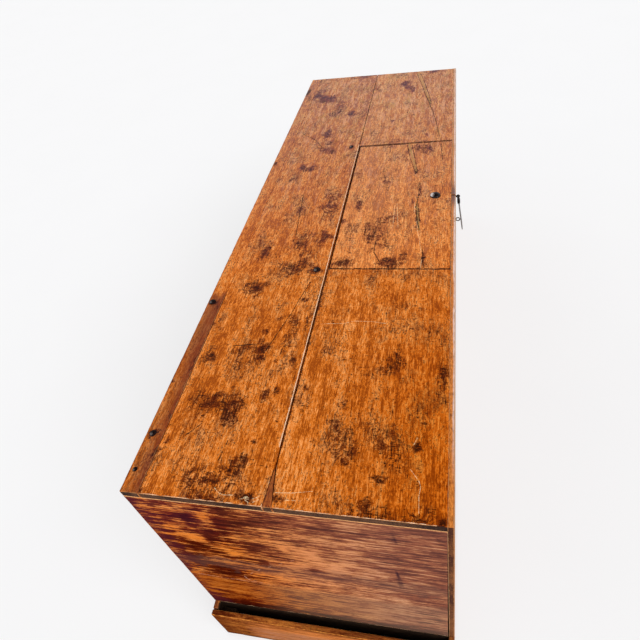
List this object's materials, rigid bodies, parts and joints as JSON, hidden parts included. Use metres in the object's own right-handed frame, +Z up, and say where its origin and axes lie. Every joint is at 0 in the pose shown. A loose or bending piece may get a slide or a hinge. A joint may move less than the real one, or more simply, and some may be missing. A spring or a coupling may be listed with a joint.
{
  "type": "carved wooden trunk",
  "caption": "Long plank trunk with a carved front, a flat fixed top, a turning lid in the middle of its front half, an iron hasp and eye staple, on a low plinth.",
  "frame": {"origin": "middle of the underside of the plinth, on the floor", "axes": "+X along the length, from the left end to the right end as seen from the front; the front faces -Y; +Z up"},
  "size_m": [1.658, 0.5458, 0.667],
  "materials": {
    "top_wood": "worn waxed pine, glossy",
    "side_wood": "dark stained pine, worn",
    "inner_wood": "bare pine, unfinished",
    "iron": "dark forged iron"
  },
  "bodies": {
    "trunk": {"front_board": "side_wood", "back_board": "side_wood", "end_panel_left": "side_wood", "end_panel_right": "side_wood", "floor_board_front": "inner_wood", "floor_board_middle": "inner_wood", "floor_board_back": "inner_wood", "top_back_board": "top_wood", "top_left_board": "top_wood", "top_right_board": "top_wood", "back_strip": "top_wood", "seam_slip": "top_wood", "bearer_left": "inner_wood", "bearer_right": "inner_wood", "back_strip_nails": "iron", "top_nails": "iron", "staple_eye": "iron", "plinth_front": "side_wood", "plinth_back": "side_wood", "plinth_left": "side_wood", "plinth_right": "side_wood", "plinth_member_left": "inner_wood", "plinth_member_middle": "inner_wood", "plinth_member_right": "inner_wood", "plinth_blocks": "inner_wood"},
    "lid": {"lid_board": "top_wood", "lid_batten_left": "inner_wood", "lid_batten_right": "inner_wood", "lid_pins": "iron", "lid_stud": "iron", "lid_eye": "iron"},
    "hasp": {"hasp": "iron"}
  },
  "joints": [
    {"name": "lid_turn", "type": "hinge", "parent": "trunk", "child": "lid", "pos_m": [0, 0.003, 0.652], "axis": [-1, 0, 0], "range_deg": [0, 105]},
    {"name": "hasp_turn", "type": "hinge", "parent": "lid", "child": "hasp", "pos_m": [0.01, -0.26926, 0.656], "axis": [-1, 0, 0], "range_deg": [-8, 150]}
  ]
}
